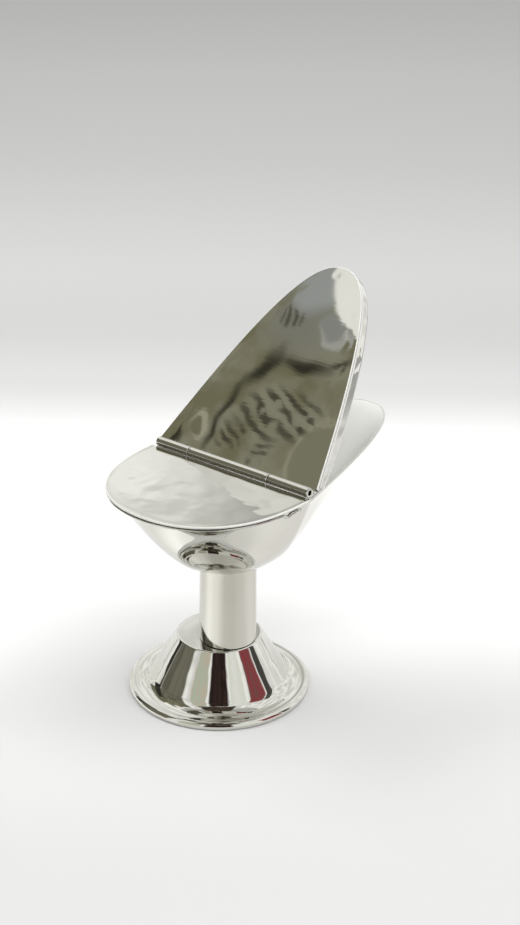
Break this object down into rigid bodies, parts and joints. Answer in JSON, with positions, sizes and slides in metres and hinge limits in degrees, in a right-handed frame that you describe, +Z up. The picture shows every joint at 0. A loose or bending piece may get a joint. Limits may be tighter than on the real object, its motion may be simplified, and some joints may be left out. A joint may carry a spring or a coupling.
{
  "type": "incense boat",
  "caption": "Boat-shaped polished metal incense holder on a stem and a round spun foot, with a fixed bow deck and a stern lid on a barrel hinge, shown open.",
  "frame": {"origin": "on the ground, under the middle of the object's bounding box with the lid open", "axes": "+X towards the stern (the end under the lid), +Y to port, +Z up; the boat's centre plane is parallel to XZ"},
  "size_m": [0.1484, 0.0834, 0.1641],
  "materials": {
    "polished_plate": "hand-buffed mirror polish, slightly wavy, fine scratches",
    "satin_tube": "satin, softly blurred reflections",
    "fastener_steel": "plain machined steel",
    "solder": "lumpy, half polished over"
  },
  "bodies": {
    "boat": {"foot_shell": "polished_plate", "stem_tube": "satin_tube", "foot_washer": "fastener_steel", "foot_nut": "fastener_steel", "tie_rod": "fastener_steel", "bowl_washer": "polished_plate", "bowl_nut": "polished_plate", "hull": "polished_plate", "bow_deck": "polished_plate", "deck_solder_seam": "solder", "hinge_knuckle_port": "polished_plate", "hinge_knuckle_starboard": "polished_plate", "hinge_pin": "fastener_steel"},
    "lid": {"lid_plate": "polished_plate", "lid_skirt": "polished_plate", "lid_knuckle": "polished_plate"}
  },
  "joints": [
    {"name": "lid_hinge", "type": "hinge", "parent": "boat", "child": "lid", "pos_m": [-0.01995, -0.00125, 0.1001], "axis": [0, -1, 0], "range_deg": [-43, 137]}
  ]
}
